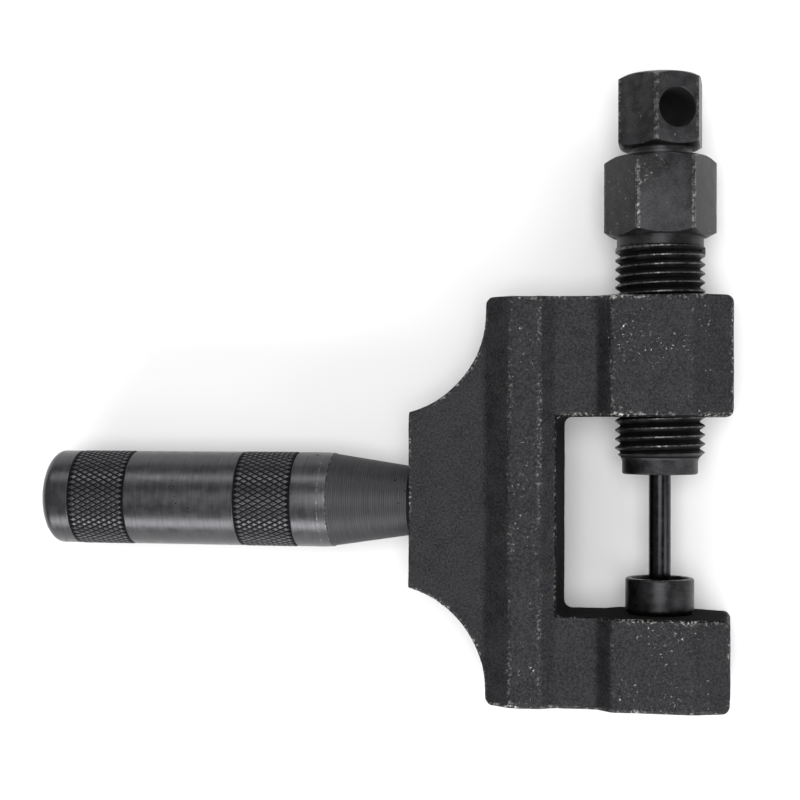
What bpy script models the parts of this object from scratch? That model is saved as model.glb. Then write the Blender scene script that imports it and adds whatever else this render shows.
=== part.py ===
"""Heavy-duty chain tool: C-frame, side handle, hollow guide screw, drive screw, push pin and anvil.

The tool lies flat. +X runs from the handle's end towards the screws, +Y along the screws from the
anvil towards the hexagon heads, and +Z up through the frame's thickness. The origin is the middle
of the bottom of the whole tool's box. Metres throughout.
"""

from math import asin, cos, degrees, pi, radians, sin, sqrt

import bmesh
import bpy
from mathutils import Matrix, Vector

MM = 0.001

# C-frame. X counts from the screws' axis and Y from the frame's middle.
FRAME_HALF_HEIGHT = 45.5 * MM
FRAME_LEFT_X = -55.75 * MM
FRAME_RIGHT_X = 16.2 * MM
LOWER_ARM_END_X = 15.5 * MM
FRAME_CORNER_R = 1.6 * MM
THROAT_X = -22.2 * MM
UPPER_ARM_FACE_Y = 18.9 * MM
LOWER_ARM_FACE_Y = -25.1 * MM
THROAT_CORNER_R = 1.6 * MM
SCOOP_R = 23.5 * MM
SCOOP_RIGHT_X = -38.2 * MM
SCOOP_CENTRE_Y = 42.5 * MM

# Half thickness across the frame: a thin web by the handle, a rib, the arms and the screw boss.
WEB_HALF = 8.4 * MM
RIB_HALF = 12.2 * MM
ARM_HALF = 9.9 * MM
BOSS_HALF = 13.2 * MM
TIP_HALF = 9.8 * MM
WEB_END_X = -38.3 * MM
RIB_START_X = -32.4 * MM
RIB_END_X = -25.6 * MM
ARM_START_X = -22.4 * MM
ARM_END_X = -13.2 * MM
BOSS_START_X = -9.9 * MM
BOSS_END_X = 7.4 * MM

# Handle, a turned bar. Its axis lies a little below the frame's middle.
HANDLE_DROP = 0.5 * MM
HANDLE_R = 10.95 * MM
HANDLE_LENGTH = 88.65 * MM
HANDLE_TAPER = 21.2 * MM
HANDLE_NECK_R = 7.8 * MM
HANDLE_DOME = 3.7 * MM
HANDLE_END_R = 3.0 * MM
SPIGOT_R = 6.0 * MM
SPIGOT_LENGTH = 16.0 * MM

# Guide screw, hollow, M20 x 2. Y counts from the frame's middle.
GUIDE_TOP_Y = 76.8 * MM
GUIDE_HEX_BOTTOM_Y = 59.1 * MM
GUIDE_THREAD_TOP_Y = 56.6 * MM
GUIDE_NOSE_TOP_Y = 9.9 * MM
GUIDE_NOSE_Y = 6.1 * MM
GUIDE_HEX_FLATS = 21.8 * MM
GUIDE_HEX_TURN = radians(9.0)
GUIDE_PITCH = 2.0 * MM
GUIDE_MAJOR_R = 10.0 * MM
GUIDE_ROOT_R = 9.1 * MM
GUIDE_SHANK_R = 9.65 * MM
GUIDE_NOSE_R = 8.4 * MM
GUIDE_TAPPED_R = 7.3 * MM
GUIDE_TAPPED_END_Y = 33.0 * MM
GUIDE_CHAMBER_R = 6.2 * MM
GUIDE_CHAMBER_END_Y = 10.4 * MM
GUIDE_PIN_HOLE_R = 2.75 * MM

# Drive screw, M14 x 1.5.
DRIVE_TOP_Y = 95.1 * MM
DRIVE_HEX_BOTTOM_Y = 78.8 * MM
DRIVE_NECK_END_Y = 76.0 * MM
DRIVE_THREAD_END_Y = 38.0 * MM
DRIVE_TIP_Y = 27.6 * MM
DRIVE_HEX_FLATS = 17.8 * MM
DRIVE_HEX_TURN = radians(27.5)
DRIVE_PITCH = 1.5 * MM
DRIVE_R = 7.0 * MM
DRIVE_ROOT_R = 6.3 * MM
DRIVE_DOG_R = 5.6 * MM
BAR_HOLE_R = 4.35 * MM
BAR_HOLE_Y = 87.0 * MM

# Push pin and its return spring.
PIN_R = 2.45 * MM
PIN_HEAD_R = 5.7 * MM
PIN_HEAD_HEIGHT = 3.0 * MM
PIN_TIP_Y = -20.0 * MM
SPRING_R = 4.6 * MM
SPRING_WIRE_R = 0.5 * MM
SPRING_TURNS = 8

# Anvil, a cup with a spigot pressed into the lower arm and a hole for the pin.
ANVIL_R = 7.63 * MM
ANVIL_TOP_Y = -17.0 * MM
ANVIL_EDGE_R = 0.9 * MM
ANVIL_CUP_R = 6.3 * MM
ANVIL_CUP_DEPTH = 1.6 * MM
ANVIL_HOLE_R = 3.3 * MM
ANVIL_SPIGOT_R = 5.0 * MM
ANVIL_SPIGOT_END_Y = -35.0 * MM

# Gap between neighbouring pieces, and the facets of round shapes.
GAP = 0.3 * MM
SEAT_GAP = 0.15 * MM
ROUND_STEPS = 32
THREAD_STEPS = 20

# The tool's box sets the origin.
HANDLE_END_X = FRAME_LEFT_X - HANDLE_LENGTH
SCREW_X = -(HANDLE_END_X + FRAME_RIGHT_X) / 2
MIDDLE_Y = -(DRIVE_TOP_Y - FRAME_HALF_HEIGHT) / 2
AXIS_Z = BOSS_HALF

SCREW_ORIGIN = Vector((SCREW_X, MIDDLE_Y, AXIS_Z))
HANDLE_ORIGIN = Vector((SCREW_X, MIDDLE_Y - HANDLE_DROP, AXIS_Z))


def clear_scene():
    for obj in list(bpy.data.objects):
        bpy.data.objects.remove(obj, do_unlink=True)


def new_collection(name):
    collection = bpy.data.collections.new(name)
    bpy.context.scene.collection.children.link(collection)
    return collection


def steel(name, colour, roughness, metallic=1.0):
    material = bpy.data.materials.new(name)
    material.use_nodes = True
    shader = material.node_tree.nodes["Principled BSDF"]
    shader.inputs["Base Color"].default_value = (*colour, 1.0)
    shader.inputs["Roughness"].default_value = roughness
    shader.inputs["Metallic"].default_value = metallic
    return material


def new_object(name, mesh, collection, origin, material=None):
    obj = bpy.data.objects.new(name, mesh)
    collection.objects.link(obj)
    obj.location = origin
    if material:
        mesh.materials.append(material)
    return obj


def as_cutter(obj):
    obj.hide_render = True
    obj.display_type = "WIRE"
    return obj


def boolean(obj, other, operation):
    modifier = obj.modifiers.new(operation.title(), "BOOLEAN")
    modifier.operation = operation
    modifier.object = other
    modifier.solver = "EXACT"


def evaluated_mesh(obj, name):
    """The object's mesh after its modifiers, as a new mesh."""
    bpy.context.view_layer.update()
    graph = bpy.context.evaluated_depsgraph_get()
    return bpy.data.meshes.new_from_object(obj.evaluated_get(graph), depsgraph=graph)


def settle(obj):
    """Applies the modifiers, so that the result can be cut or joined again."""
    mesh = evaluated_mesh(obj, obj.name)
    obj.modifiers.clear()
    obj.data = mesh


def shade_round(obj, angle=30):
    obj.data.shade_smooth()
    obj.data.set_sharp_from_angle(angle=radians(angle))


def arc(centre, radius, start, end, steps):
    """Points of an arc, from start to end in degrees."""
    turns = [radians(start + (end - start) * i / steps) for i in range(steps + 1)]
    return [(centre[0] + radius * cos(turn), centre[1] + radius * sin(turn)) for turn in turns]


def turned(name, profile, axis, collection, origin, material=None, steps=ROUND_STEPS):
    """A Screw modifier's solid from (radius, distance along the axis) points, listed from the top down."""
    mesh = bpy.data.meshes.new(name)
    if axis == "Y":
        points = [(radius, along, 0.0) for radius, along in profile]
    else:
        points = [(along, radius, 0.0) for radius, along in profile]
    shape = bmesh.new()
    verts = [shape.verts.new(point) for point in points]
    for first, second in zip(verts, verts[1:]):
        shape.edges.new((first, second))
    if profile[0] != profile[-1] and min(profile[0][0], profile[-1][0]) > 0:
        shape.edges.new((verts[-1], verts[0]))
    shape.to_mesh(mesh)
    shape.free()
    obj = new_object(name, mesh, collection, origin, material)
    screw = obj.modifiers.new("Turn", "SCREW")
    screw.axis = axis
    screw.steps = screw.render_steps = steps
    screw.use_merge_vertices = True
    screw.merge_threshold = 0.00001
    return obj


def hexagon(name, flats, low, high, turn, chamfer, collection, origin, material=None):
    """A hexagonal prism along Y with its corners chamfered, one face turned from +Z about the axis."""
    shape = bmesh.new()
    corner_r = flats / sqrt(3)
    placed = Matrix.Translation((0, (low + high) / 2, 0)) @ Matrix.Rotation(turn + radians(30), 4, "Y")
    placed = placed @ Matrix.Rotation(radians(-90), 4, "X")
    bmesh.ops.create_cone(shape, cap_ends=True, segments=6, radius1=corner_r, radius2=corner_r,
                          depth=high - low, matrix=placed)
    mesh = bpy.data.meshes.new(name)
    shape.to_mesh(mesh)
    shape.free()
    obj = new_object(name, mesh, collection, origin, material)
    drop = (corner_r - flats / 2 + chamfer) * 0.55
    profile = [(0, high), (flats / 2 - chamfer, high), (corner_r, high - drop),
               (corner_r, low + drop), (flats / 2 - chamfer, low), (0, low)]
    blank = turned(name + "_blank", profile, "Y", cutters, origin)
    boolean(obj, as_cutter(blank), "INTERSECT")
    return obj


def threaded_rod(name, below, above, low, high, root_r, major_r, pitch, collection, origin):
    """A rod along +Y with a right-hand V thread from about low to high.

    Below and above are the plain ends' (radius, distance) rings, each listed away from the thread.
    The root and the crest are helices, a column of points for each step of a turn.
    """
    shape = bmesh.new()
    turns = int((high - low) / pitch) - 1
    start = (low + high - pitch * (turns + 1)) / 2

    def place(radius, along, step):
        turn = 2 * pi * step / THREAD_STEPS
        return shape.verts.new((radius * cos(turn), along, -radius * sin(turn)))

    roots = [place(root_r, start + pitch * step / THREAD_STEPS, step)
             for step in range(THREAD_STEPS * (turns + 1) + 1)]
    crests = [place(major_r, start + pitch * (step / THREAD_STEPS + 0.5), step)
              for step in range(THREAD_STEPS * turns + 1)]
    for step in range(THREAD_STEPS * turns):
        after = step + THREAD_STEPS
        shape.faces.new((roots[step], roots[step + 1], crests[step + 1], crests[step]))
        shape.faces.new((crests[step], crests[step + 1], roots[after + 1], roots[after]))
    shape.faces.new((roots[0], crests[0], roots[THREAD_STEPS]))
    last = THREAD_STEPS * turns
    shape.faces.new((roots[last], roots[last + THREAD_STEPS], crests[last]))

    bottom = roots[:THREAD_STEPS + 1]
    top = roots[last:]
    first = [place(*below[0], step) for step in range(THREAD_STEPS)]
    for step in range(THREAD_STEPS - 1):
        shape.faces.new((bottom[step], bottom[step + 1], first[step + 1], first[step]))
    shape.faces.new((bottom[-2], bottom[-1], bottom[0], first[0], first[-1]))
    upper = [place(*above[0], step) for step in range(THREAD_STEPS)]
    shape.faces.new((top[0], top[1], upper[1], upper[0], top[-1]))
    for step in range(1, THREAD_STEPS - 1):
        shape.faces.new((top[step], top[step + 1], upper[step + 1], upper[step]))
    shape.faces.new((top[-2], top[-1], upper[0], upper[-1]))
    for ring, rest in ((first, below[1:]), (upper, above[1:])):
        for radius, along in rest:
            outer = [place(radius, along, step) for step in range(THREAD_STEPS)]
            for step in range(THREAD_STEPS):
                after = (step + 1) % THREAD_STEPS
                shape.faces.new((ring[step], ring[after], outer[after], outer[step]))
            ring = outer
        shape.faces.new(ring)
    bmesh.ops.recalc_face_normals(shape, faces=shape.faces)
    mesh = bpy.data.meshes.new(name)
    shape.to_mesh(mesh)
    shape.free()
    return new_object(name, mesh, collection, origin)


def extruded(name, points, depth, plane, collection, origin):
    """A closed outline in the XY or XZ plane, extruded by depth to both sides of it."""
    shape = bmesh.new()
    if plane == "XY":
        places = [(x, y, -depth) for x, y in points]
        travel = Vector((0, 0, 2 * depth))
    else:
        places = [(x, -depth, z) for x, z in points]
        travel = Vector((0, 2 * depth, 0))
    face = shape.faces.new([shape.verts.new(place) for place in places])
    grown = bmesh.ops.extrude_face_region(shape, geom=[face])
    moved = [item for item in grown["geom"] if isinstance(item, bmesh.types.BMVert)]
    bmesh.ops.translate(shape, vec=travel, verts=moved)
    bmesh.ops.recalc_face_normals(shape, faces=shape.faces)
    mesh = bpy.data.meshes.new(name)
    shape.to_mesh(mesh)
    shape.free()
    return new_object(name, mesh, collection, origin)


def corner(x, y, radius, start, end, steps=5):
    """A rounded convex corner at x, y whose arc runs from start to end in degrees."""
    middle = radians((start + end) / 2)
    reach = radius * sqrt(2)
    centre = (x - reach * cos(middle), y - reach * sin(middle))
    return arc(centre, radius, start, end, steps)


def frame_outline():
    """The C shape, from the handle side round the upper arm, the throat and the lower arm."""
    scoop_x = SCOOP_RIGHT_X - SCOOP_R
    reach = degrees(asin((FRAME_LEFT_X - scoop_x) / SCOOP_R))
    upper = [(FRAME_LEFT_X, 0.0)]
    upper += arc((scoop_x, SCOOP_CENTRE_Y), SCOOP_R, reach - 90, 0, 12)
    upper += corner(SCOOP_RIGHT_X, FRAME_HALF_HEIGHT, FRAME_CORNER_R, 180, 90)
    upper += corner(FRAME_RIGHT_X, FRAME_HALF_HEIGHT, FRAME_CORNER_R, 90, 0)
    upper += corner(FRAME_RIGHT_X, UPPER_ARM_FACE_Y, FRAME_CORNER_R, 0, -90)
    throat_top = (THROAT_X + THROAT_CORNER_R, UPPER_ARM_FACE_Y - THROAT_CORNER_R)
    throat_low = (THROAT_X + THROAT_CORNER_R, LOWER_ARM_FACE_Y + THROAT_CORNER_R)
    throat = arc(throat_top, THROAT_CORNER_R, 90, 180, 5)
    throat += arc(throat_low, THROAT_CORNER_R, 180, 270, 5)
    lower = corner(LOWER_ARM_END_X, LOWER_ARM_FACE_Y, FRAME_CORNER_R, 90, 0)
    lower += corner(LOWER_ARM_END_X, -FRAME_HALF_HEIGHT, FRAME_CORNER_R, 0, -90)
    lower += corner(SCOOP_RIGHT_X, -FRAME_HALF_HEIGHT, FRAME_CORNER_R, -90, -180)
    lower += arc((scoop_x, -SCOOP_CENTRE_Y), SCOOP_R, 0, 90 - reach, 12)
    return upper + throat + lower


def frame_section():
    """Half thickness along X, mirrored to both faces."""
    side = [(FRAME_LEFT_X - MM, WEB_HALF), (WEB_END_X, WEB_HALF), (RIB_START_X, RIB_HALF),
            (RIB_END_X, RIB_HALF), (ARM_START_X, ARM_HALF), (ARM_END_X, ARM_HALF),
            (BOSS_START_X, BOSS_HALF), (BOSS_END_X, BOSS_HALF), (FRAME_RIGHT_X, TIP_HALF),
            (FRAME_RIGHT_X + MM, TIP_HALF)]
    return side + [(x, -half) for x, half in reversed(side)]


def make_frame():
    frame = extruded("frame", frame_outline(), 2 * BOSS_HALF, "XY", parts, SCREW_ORIGIN)
    frame.data.materials.append(steel("forged_black_steel", (0.055, 0.055, 0.058), 0.55, 0.6))
    section = extruded("frame_section", frame_section(), 2 * FRAME_HALF_HEIGHT, "XZ", cutters,
                       SCREW_ORIGIN)
    boolean(frame, as_cutter(section), "INTERSECT")
    top = FRAME_HALF_HEIGHT + MM
    middle = (UPPER_ARM_FACE_Y + LOWER_ARM_FACE_Y) / 2
    screw_r = GUIDE_MAJOR_R + GAP
    upper_bore = turned("upper_bore", [(0, top), (screw_r, top), (screw_r, middle), (0, middle)],
                        "Y", cutters, SCREW_ORIGIN)
    boolean(frame, as_cutter(upper_bore), "DIFFERENCE")
    seat_r = ANVIL_SPIGOT_R + GAP
    seat_end = ANVIL_SPIGOT_END_Y - SEAT_GAP
    lower_bore = turned("lower_bore",
                        [(0, middle), (seat_r, middle), (seat_r, seat_end),
                         (ANVIL_HOLE_R, seat_end), (ANVIL_HOLE_R, -top), (0, -top)],
                        "Y", cutters, SCREW_ORIGIN)
    boolean(frame, as_cutter(lower_bore), "DIFFERENCE")
    tapped_r = SPIGOT_R + GAP
    depth = FRAME_LEFT_X + SPIGOT_LENGTH + 2 * GAP
    start = FRAME_LEFT_X - MM
    handle_bore = turned("handle_bore", [(0, depth), (tapped_r, depth), (tapped_r, start), (0, start)],
                         "X", cutters, HANDLE_ORIGIN)
    boolean(frame, as_cutter(handle_bore), "DIFFERENCE")
    settle(frame)
    return frame


def make_handle():
    """A domed grip that tapers to its shoulder on the frame, with a spigot screwed into the web."""
    end = HANDLE_END_X
    seat = FRAME_LEFT_X - SEAT_GAP
    dome = [(HANDLE_END_R + (HANDLE_R - HANDLE_END_R) * sin(turn), end + HANDLE_DOME * (1 - cos(turn)))
            for turn in (radians(90 - 15 * i) for i in range(7))]
    spigot_end = FRAME_LEFT_X + SPIGOT_LENGTH
    profile = [(0, spigot_end), (SPIGOT_R - MM, spigot_end), (SPIGOT_R, spigot_end - MM),
               (SPIGOT_R, seat), (HANDLE_NECK_R, seat), (HANDLE_R, seat - HANDLE_TAPER)]
    profile += dome + [(0, end)]
    handle = turned("handle", profile, "X", parts, HANDLE_ORIGIN,
                    steel("turned_black_steel", (0.16, 0.16, 0.17), 0.42))
    shade_round(handle)
    return handle


def make_anvil():
    """A cup on a spigot, with the pin's hole through both."""
    seat = LOWER_ARM_FACE_Y + SEAT_GAP
    outer = ANVIL_R - ANVIL_EDGE_R
    top_edge = arc((outer, ANVIL_TOP_Y - ANVIL_EDGE_R), ANVIL_EDGE_R, 90, 0, 4)
    low_edge = arc((outer, seat + ANVIL_EDGE_R), ANVIL_EDGE_R, 0, -90, 4)
    cup_floor = ANVIL_TOP_Y - ANVIL_CUP_DEPTH
    profile = [(ANVIL_HOLE_R, cup_floor), (ANVIL_CUP_R - 0.3 * MM, cup_floor)]
    profile += [(ANVIL_CUP_R, ANVIL_TOP_Y - 0.3 * MM), *top_edge, *low_edge]
    profile += [(ANVIL_SPIGOT_R, seat), (ANVIL_SPIGOT_R, ANVIL_SPIGOT_END_Y)]
    profile += [(ANVIL_HOLE_R, ANVIL_SPIGOT_END_Y)]
    anvil = turned("anvil", profile, "Y", parts, SCREW_ORIGIN,
                   steel("hardened_anvil_steel", (0.09, 0.09, 0.095), 0.4))
    shade_round(anvil)
    return anvil


def make_guide_screw():
    """Hexagon, threaded shank and plain nose, bored through for the drive screw, spring and pin."""
    finish = steel("black_oxide_screw_steel", (0.06, 0.06, 0.065), 0.4)
    screw = hexagon("guide_screw", GUIDE_HEX_FLATS, GUIDE_HEX_BOTTOM_Y, GUIDE_TOP_Y, GUIDE_HEX_TURN,
                    0.3 * MM, parts, SCREW_ORIGIN, finish)
    inside = GUIDE_HEX_BOTTOM_Y + 2 * MM
    chamfer = 0.3 * MM
    nose = [(GUIDE_ROOT_R, GUIDE_NOSE_TOP_Y), (GUIDE_NOSE_R, GUIDE_NOSE_TOP_Y - 2 * chamfer),
            (GUIDE_NOSE_R, GUIDE_NOSE_Y + chamfer), (GUIDE_NOSE_R - chamfer, GUIDE_NOSE_Y)]
    neck = [(GUIDE_ROOT_R, GUIDE_THREAD_TOP_Y - 2 * chamfer), (GUIDE_SHANK_R, GUIDE_THREAD_TOP_Y),
            (GUIDE_SHANK_R, inside)]
    shank = threaded_rod("guide_shank", nose, neck, GUIDE_NOSE_TOP_Y + chamfer,
                         GUIDE_THREAD_TOP_Y - 3 * chamfer, GUIDE_ROOT_R, GUIDE_MAJOR_R, GUIDE_PITCH,
                         cutters, SCREW_ORIGIN)
    boolean(screw, as_cutter(shank), "UNION")
    above, below = GUIDE_TOP_Y + MM, GUIDE_NOSE_Y - MM
    step = GUIDE_TAPPED_R - GUIDE_CHAMBER_R
    bore_profile = [(0, above), (GUIDE_TAPPED_R, above), (GUIDE_TAPPED_R, GUIDE_TAPPED_END_Y),
                    (GUIDE_CHAMBER_R, GUIDE_TAPPED_END_Y - step),
                    (GUIDE_CHAMBER_R, GUIDE_CHAMBER_END_Y), (GUIDE_PIN_HOLE_R, GUIDE_CHAMBER_END_Y),
                    (GUIDE_PIN_HOLE_R, below), (0, below)]
    bore = turned("guide_bore", bore_profile, "Y", cutters, SCREW_ORIGIN)
    boolean(screw, as_cutter(bore), "DIFFERENCE")
    settle(screw)
    return screw


def make_drive_screw():
    """Hexagon with a hole for a bar, a plain neck, the threaded shank and a dog point."""
    finish = steel("black_oxide_drive_steel", (0.07, 0.07, 0.075), 0.42)
    screw = hexagon("drive_screw", DRIVE_HEX_FLATS, DRIVE_HEX_BOTTOM_Y, DRIVE_TOP_Y, DRIVE_HEX_TURN,
                    0.6 * MM, parts, SCREW_ORIGIN, finish)
    inside = DRIVE_HEX_BOTTOM_Y + 2 * MM
    step = DRIVE_ROOT_R - DRIVE_DOG_R
    edge = 0.5 * MM
    dog = [(DRIVE_ROOT_R, DRIVE_THREAD_END_Y + step), (DRIVE_DOG_R, DRIVE_THREAD_END_Y),
           (DRIVE_DOG_R, DRIVE_TIP_Y + edge), (DRIVE_DOG_R - edge, DRIVE_TIP_Y)]
    neck = [(DRIVE_ROOT_R, DRIVE_NECK_END_Y - edge), (DRIVE_R, DRIVE_NECK_END_Y), (DRIVE_R, inside)]
    shank = threaded_rod("drive_shank", dog, neck, DRIVE_THREAD_END_Y + 2 * step,
                         DRIVE_NECK_END_Y - DRIVE_PITCH, DRIVE_ROOT_R, DRIVE_R, DRIVE_PITCH,
                         cutters, SCREW_ORIGIN)
    boolean(screw, as_cutter(shank), "UNION")
    across = DRIVE_HEX_FLATS
    bar = turned("bar_hole", [(0, across), (BAR_HOLE_R, across), (BAR_HOLE_R, -across), (0, -across)],
                 "Y", cutters, SCREW_ORIGIN + Vector((0, BAR_HOLE_Y, 0)), steps=28)
    bar.rotation_mode = "QUATERNION"
    face_normal = Vector((sin(DRIVE_HEX_TURN), 0, cos(DRIVE_HEX_TURN)))
    bar.rotation_quaternion = Vector((0, 1, 0)).rotation_difference(face_normal)
    boolean(screw, as_cutter(bar), "DIFFERENCE")
    settle(screw)
    return screw


def make_push_pin():
    """A headed pin that reaches from the drive screw's point into the anvil."""
    top = DRIVE_TIP_Y - SEAT_GAP
    low = top - PIN_HEAD_HEIGHT
    edge = 0.4 * MM
    profile = [(0, top), (PIN_HEAD_R - edge, top), (PIN_HEAD_R, top - edge), (PIN_HEAD_R, low),
               (PIN_R, low), (PIN_R, PIN_TIP_Y + edge), (PIN_R - edge, PIN_TIP_Y), (0, PIN_TIP_Y)]
    pin = turned("push_pin", profile, "Y", parts, SCREW_ORIGIN,
                 steel("hardened_pin_steel", (0.05, 0.05, 0.052), 0.3), steps=28)
    shade_round(pin)
    return pin


def make_pin_spring():
    """The compression spring between the chamber's floor and the pin's head."""
    clear = SPRING_WIRE_R + SEAT_GAP
    low = GUIDE_CHAMBER_END_Y + clear
    high = DRIVE_TIP_Y - SEAT_GAP - PIN_HEAD_HEIGHT - clear
    curve = bpy.data.curves.new("pin_spring", "CURVE")
    curve.dimensions = "3D"
    curve.bevel_depth = SPRING_WIRE_R
    curve.bevel_resolution = 1
    curve.use_fill_caps = True
    spline = curve.splines.new("POLY")
    steps = SPRING_TURNS * 14
    spline.points.add(steps)
    for i, point in enumerate(spline.points):
        turn = 2 * pi * SPRING_TURNS * i / steps
        along = low + (high - low) * i / steps
        point.co = (SPRING_R * cos(turn), along, -SPRING_R * sin(turn), 1.0)
    wire = bpy.data.objects.new("pin_spring_wire", curve)
    parts.objects.link(wire)
    mesh = evaluated_mesh(wire, "pin_spring")
    bpy.data.objects.remove(wire, do_unlink=True)
    shape = bmesh.new()
    shape.from_mesh(mesh)
    bmesh.ops.remove_doubles(shape, verts=shape.verts, dist=0.000001)
    shape.to_mesh(mesh)
    shape.free()
    spring = new_object("pin_spring", mesh, parts, SCREW_ORIGIN,
                        steel("spring_steel", (0.35, 0.35, 0.36), 0.3))
    shade_round(spring, 60)
    return spring


clear_scene()
parts = new_collection("chain_tool")
cutters = new_collection("cutters")
make_frame()
make_handle()
make_anvil()
make_guide_screw()
make_drive_screw()
make_push_pin()
make_pin_spring()
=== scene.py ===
"""Looks of the chain tool: a forged black frame, a knurled handle, two black screws, a pin and an anvil."""

from math import atan2, cos, pi, radians, sin, sqrt

import bmesh
import bpy
from mathutils import Matrix, Vector


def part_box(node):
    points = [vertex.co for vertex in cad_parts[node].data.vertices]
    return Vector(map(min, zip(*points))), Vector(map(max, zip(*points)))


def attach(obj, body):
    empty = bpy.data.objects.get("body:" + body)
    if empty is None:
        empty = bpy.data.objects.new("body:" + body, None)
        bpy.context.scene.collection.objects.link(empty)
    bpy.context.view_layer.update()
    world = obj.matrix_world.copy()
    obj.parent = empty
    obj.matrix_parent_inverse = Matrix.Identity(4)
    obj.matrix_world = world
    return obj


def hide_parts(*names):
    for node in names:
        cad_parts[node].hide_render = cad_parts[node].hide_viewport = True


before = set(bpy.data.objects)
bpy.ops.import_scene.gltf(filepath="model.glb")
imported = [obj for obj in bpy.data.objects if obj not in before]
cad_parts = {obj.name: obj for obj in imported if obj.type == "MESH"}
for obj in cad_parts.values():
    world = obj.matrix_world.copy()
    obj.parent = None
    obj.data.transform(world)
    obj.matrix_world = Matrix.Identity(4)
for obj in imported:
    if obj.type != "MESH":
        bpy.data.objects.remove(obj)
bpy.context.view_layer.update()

MM = 0.001
ROUND_STEPS = 96
# How far a cutting tool stands past what it cuts, and the gap left round a pressed-in foot.
TOOL_PAST = 5 * MM
FIT_GAP = 0.15 * MM
# Places closer together than this are the same place.
NEAR = 0.1 * MM

# Where the CAD pieces lie.
FRAME_LOW, FRAME_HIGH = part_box("frame")
HANDLE_LOW, HANDLE_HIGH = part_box("handle")
ANVIL_LOW, ANVIL_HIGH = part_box("anvil")
GUIDE_LOW, GUIDE_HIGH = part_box("guide_screw")
DRIVE_LOW, DRIVE_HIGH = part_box("drive_screw")
PIN_LOW, PIN_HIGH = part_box("push_pin")
SPRING_LOW, SPRING_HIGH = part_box("pin_spring")

# The screws' axis runs along Y, and the handle's along X.
SCREW_X = (PIN_LOW.x + PIN_HIGH.x) / 2
MIDDLE_Y = (FRAME_LOW.y + FRAME_HIGH.y) / 2
AXIS_Z = (FRAME_LOW.z + FRAME_HIGH.z) / 2
SCREW_AXIS = Vector((SCREW_X, 0, AXIS_Z))
HANDLE_AXIS = Vector((0, (HANDLE_LOW.y + HANDLE_HIGH.y) / 2, AXIS_Z))
ALONG_SCREW = Vector((0, 1, 0))
ALONG_HANDLE = Vector((1, 0, 0))

# Frame. X stations and half thicknesses across it, from the screws' axis.
BOSS_HALF = (FRAME_HIGH.z - FRAME_LOW.z) / 2
FRAME_STATIONS = (
    (FRAME_LOW.x - SCREW_X, 8.4 * MM), (-38.3 * MM, 8.4 * MM), (-32.4 * MM, 12.2 * MM),
    (-25.6 * MM, 12.2 * MM), (-22.4 * MM, 9.9 * MM), (-13.2 * MM, 9.9 * MM), (-9.9 * MM, BOSS_HALF),
    (7.4 * MM, BOSS_HALF), (FRAME_HIGH.x - SCREW_X, 9.8 * MM),
)
LOWER_ARM_END_X = SCREW_X + 15.5 * MM
THROAT_X = SCREW_X - 22.2 * MM
UPPER_ARM_FACE = MIDDLE_Y + 18.9 * MM
LOWER_ARM_FACE = MIDDLE_Y - 25.1 * MM
SCOOP_R = 23.5 * MM
SCOOP_RIGHT_X = SCREW_X - 38.2 * MM
SCOOP_RISE = 42.5 * MM
OUTLINE_CORNER_R = 1.6 * MM
FORGED_EDGE_R = 0.8 * MM
SCREW_HOLE_R = 10.1 * MM
ANVIL_HOLE_R = 5.3 * MM
EXIT_HOLE_R = 3.3 * MM
HANDLE_HOLE_R = 6.3 * MM
HANDLE_HOLE_END_X = FRAME_LOW.x + 16.6 * MM
ANVIL_SEAT_Y = ANVIL_LOW.y - FIT_GAP
FORGED_VOXEL = 0.5 * MM
# How wide and how high the forging's swells and its scale marks are.
FORGED_RELIEF = (("forging_swell", 9 * MM, 0.25 * MM), ("forging_scale", 1.6 * MM, 0.1 * MM))

# Handle. Knurl bands and the dome are measured from its end.
HANDLE_R = (HANDLE_HIGH.z - HANDLE_LOW.z) / 2
HANDLE_DOME = 3.7 * MM
HANDLE_END_R = 3.0 * MM
KNURL_BANDS = ((8.0 * MM, 21.7 * MM), (48.1 * MM, 61.5 * MM))
KNURL_COLUMNS = 106
KNURL_ROWS = 11
KNURL_GROOVE = 0.14 * MM
KNURL_CREST = 0.16 * MM
KNURL_FLAT = 0.42 * MM
KNURL_RAMP = 0.25 * MM
HANDLE_NECK_R = 7.8 * MM
HANDLE_SHOULDER_X = FRAME_LOW.x
HANDLE_TAPER = 20.7 * MM
TAPER_LAND = 1.9 * MM
# How far apart the taper's turned rings are. Real ones, about 0.15 mm apart, are too fine to show.
TAPER_RINGS = 0.5 * MM
SPIGOT_R = 6 * MM

# Anvil.
ANVIL_R = (ANVIL_HIGH.x - ANVIL_LOW.x) / 2
ANVIL_SPIGOT_R = 5 * MM
ANVIL_CUP_R = 6.3 * MM
ANVIL_CUP_DEPTH = 1.6 * MM
ANVIL_RIM_EDGE = 0.55 * MM
ANVIL_FOOT_EDGE = 1.1 * MM
ANVIL_LIP_EDGE = 0.35 * MM

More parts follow.
